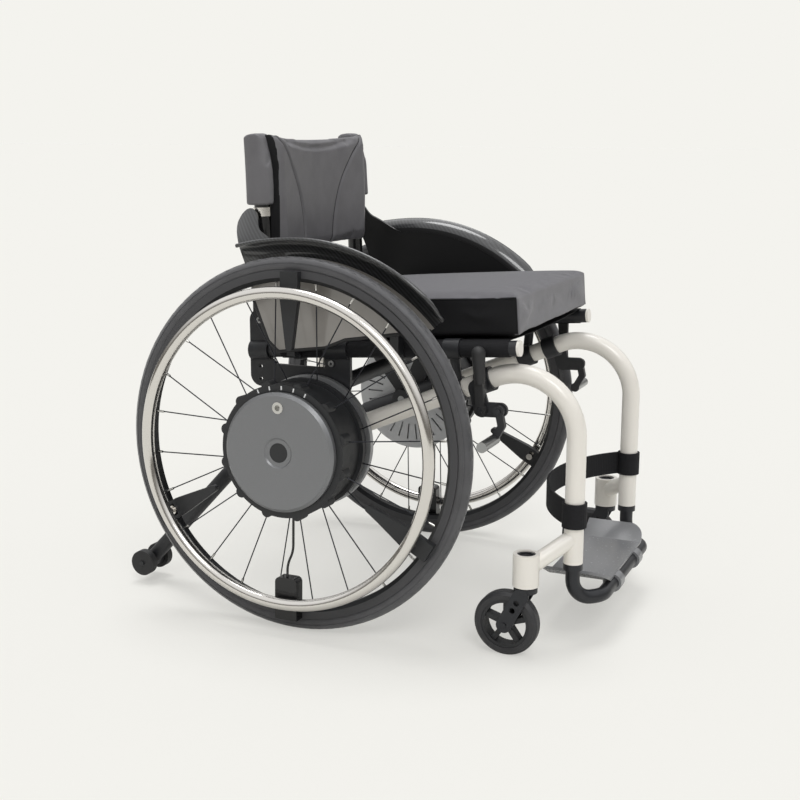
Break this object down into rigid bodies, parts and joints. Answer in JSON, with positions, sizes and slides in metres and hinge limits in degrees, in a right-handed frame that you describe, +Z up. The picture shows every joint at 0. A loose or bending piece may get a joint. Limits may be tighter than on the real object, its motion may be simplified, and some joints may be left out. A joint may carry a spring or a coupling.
{
  "type": "wheelchair with power assist wheels",
  "caption": "Rigid-frame active wheelchair with power-assist hub wheels, carbon side guards, folding backrest, casters and footplate.",
  "frame": {"origin": "on the floor under the middle of the chair's length and width", "axes": "+X forward, +Y to the user's left, +Z up"},
  "size_m": [0.8402, 0.6498, 0.775],
  "materials": {
    "tyre_rubber": "fine file tread",
    "rim_black": "black anodised alloy",
    "spoke_steel": "black oxide steel",
    "hub_black": "moulded fine grain",
    "hub_grey": "satin grey cover",
    "cast_aluminium": "turned and slotted",
    "steel": "plain",
    "handrim_steel": "polished stainless tube",
    "copper": "wound stator",
    "cell_wrap": "shrink sleeve",
    "frame_white": "white powder coat",
    "frame_black": "black powder coat",
    "cap_white": "moulded",
    "cap_black": "moulded",
    "webbing": "woven webbing",
    "seat_cloth": "knitted cover",
    "back_leather": "soft synthetic leather",
    "carbon": "clear-coated woven carbon",
    "fork_grey": "anodised dark grey",
    "caster_core": "moulded nylon",
    "caster_rubber": "moulded polyurethane",
    "foot_grey": "dark grey lacquer",
    "grip_black": "soft grip"
  },
  "bodies": {
    "chair": {"motor_axles": "steel", "bearings": "steel", "magnet_rotors": "steel", "side_frames": "frame_white", "cross_tube": "frame_black", "axle_housings": "frame_black", "side_plates": "frame_black", "seat_rails": "frame_black", "rail_brackets": "frame_black", "rail_caps": "cap_white", "frame_bolts": "steel", "caster_caps": "cap_black", "seat_sling": "webbing", "seat_cushion": "seat_cloth", "side_guards": "carbon", "back_brackets": "frame_black", "brake_mounts": "frame_black", "footrest_tube": "foot_grey", "calf_strap": "webbing"},
    "wheel_right": {"tyre_right": "tyre_rubber", "rim_right": "rim_black", "spokes_right": "spoke_steel", "hub_shell_right": "hub_black", "hub_cover_right": "hub_grey", "hub_back_cover_right": "cast_aluminium", "charge_panel_right": "steel", "stator_right": "copper", "battery_pack_right": "cell_wrap", "rim_lugs_right": "hub_black", "wheel_sensor_right": "hub_black"},
    "handrim_right": {"handrim_right": "handrim_steel"},
    "release_right": {"release_button_right": "hub_black"},
    "caster_right": {"caster_fork_right": "fork_grey"},
    "caster_roll_right": {"caster_wheel_right": "caster_core", "caster_tyre_right": "caster_rubber"},
    "lever_right": {"brake_lever_right": "grip_black"},
    "arm_right": {"brake_arm_right": "steel"},
    "wheel_left": {"tyre_left": "tyre_rubber", "rim_left": "rim_black", "spokes_left": "spoke_steel", "hub_shell_left": "hub_black", "hub_cover_left": "hub_grey", "hub_back_cover_left": "cast_aluminium", "charge_panel_left": "steel", "stator_left": "copper", "battery_pack_left": "cell_wrap", "rim_lugs_left": "hub_black", "wheel_sensor_left": "hub_black"},
    "handrim_left": {"handrim_left": "handrim_steel"},
    "release_left": {"release_button_left": "hub_black"},
    "caster_left": {"caster_fork_left": "fork_grey"},
    "caster_roll_left": {"caster_wheel_left": "caster_core", "caster_tyre_left": "caster_rubber"},
    "lever_left": {"brake_lever_left": "grip_black"},
    "arm_left": {"brake_arm_left": "steel"},
    "backrest": {"back_frame": "frame_black", "back_upholstery": "back_leather"},
    "footplate": {"footplate": "foot_grey"},
    "antitip": {"antitip_tube": "frame_black"},
    "antitip_roll": {"antitip_wheels": "caster_core"}
  },
  "joints": [
    {"name": "drive_right", "type": "hinge", "parent": "chair", "child": "wheel_right", "pos_m": [-0.05812, -0.262, 0.29483], "axis": [0, 0.9994, -0.0349], "continuous": true},
    {"name": "handrim_twist_right", "type": "hinge", "parent": "wheel_right", "child": "handrim_right", "pos_m": [-0.05812, -0.262, 0.29483], "axis": [0, 0.9994, -0.0349], "range_deg": [-1.2, 1.2], "stiffness_Nm_per_rad": 400},
    {"name": "release_press_right", "type": "slide", "parent": "wheel_right", "child": "release_right", "axis": [0, 0.9994, -0.0349], "range_m": [0, 0.004], "stiffness_N_per_m": 1500, "springref_m": -0.002},
    {"name": "caster_swivel_right", "type": "hinge", "parent": "chair", "child": "caster_right", "pos_m": [0.31288, -0.234, 0.112], "axis": [0, 0, 1], "continuous": true},
    {"name": "caster_spin_right", "type": "hinge", "parent": "caster_right", "child": "caster_roll_right", "pos_m": [0.28488, -0.234, 0.05], "axis": [0, 1, 0], "continuous": true},
    {"name": "brake_lever_swing_right", "type": "hinge", "parent": "chair", "child": "lever_right", "pos_m": [0.23188, -0.219, 0.37], "axis": [0, 1, 0], "range_deg": [0, 50]},
    {"name": "brake_arm_swing_right", "type": "hinge", "parent": "chair", "child": "arm_right", "pos_m": [0.26088, -0.219, 0.371], "axis": [0, 1, 0], "range_deg": [0, 13]},
    {"name": "drive_left", "type": "hinge", "parent": "chair", "child": "wheel_left", "pos_m": [-0.05812, 0.262, 0.29483], "axis": [0, 0.9994, 0.0349], "continuous": true},
    {"name": "handrim_twist_left", "type": "hinge", "parent": "wheel_left", "child": "handrim_left", "pos_m": [-0.05812, 0.262, 0.29483], "axis": [0, 0.9994, 0.0349], "range_deg": [-1.2, 1.2], "stiffness_Nm_per_rad": 400},
    {"name": "release_press_left", "type": "slide", "parent": "wheel_left", "child": "release_left", "axis": [0, -0.9994, -0.0349], "range_m": [0, 0.004], "stiffness_N_per_m": 1500, "springref_m": -0.002},
    {"name": "caster_swivel_left", "type": "hinge", "parent": "chair", "child": "caster_left", "pos_m": [0.31288, 0.234, 0.112], "axis": [0, 0, 1], "continuous": true},
    {"name": "caster_spin_left", "type": "hinge", "parent": "caster_left", "child": "caster_roll_left", "pos_m": [0.28488, 0.234, 0.05], "axis": [0, 1, 0], "continuous": true},
    {"name": "brake_lever_swing_left", "type": "hinge", "parent": "chair", "child": "lever_left", "pos_m": [0.23188, 0.219, 0.37], "axis": [0, 1, 0], "range_deg": [0, 50]},
    {"name": "brake_arm_swing_left", "type": "hinge", "parent": "chair", "child": "arm_left", "pos_m": [0.26088, 0.219, 0.371], "axis": [0, 1, 0], "range_deg": [0, 13]},
    {"name": "back_fold", "type": "hinge", "parent": "chair", "child": "backrest", "pos_m": [-0.15612, 0, 0.515], "axis": [0, 1, 0], "range_deg": [0, 60]},
    {"name": "footplate_flip", "type": "hinge", "parent": "chair", "child": "footplate", "pos_m": [0.40512, 0, 0.076], "axis": [0, 1, 0], "range_deg": [0, 85]},
    {"name": "antitip_swing", "type": "hinge", "parent": "chair", "child": "antitip", "pos_m": [-0.11212, -0.17, 0.2653], "axis": [0.9219, 0, 0.3875], "range_deg": [0, 180]},
    {"name": "antitip_spin", "type": "hinge", "parent": "antitip", "child": "antitip_roll", "pos_m": [-0.39812, -0.17, 0.036], "axis": [0, 1, 0], "continuous": true}
  ],
  "couplings": [
    {"joint": "brake_arm_swing_right", "follows": "brake_lever_swing_right", "ratio": 0.26},
    {"joint": "brake_arm_swing_left", "follows": "brake_lever_swing_left", "ratio": 0.26}
  ]
}
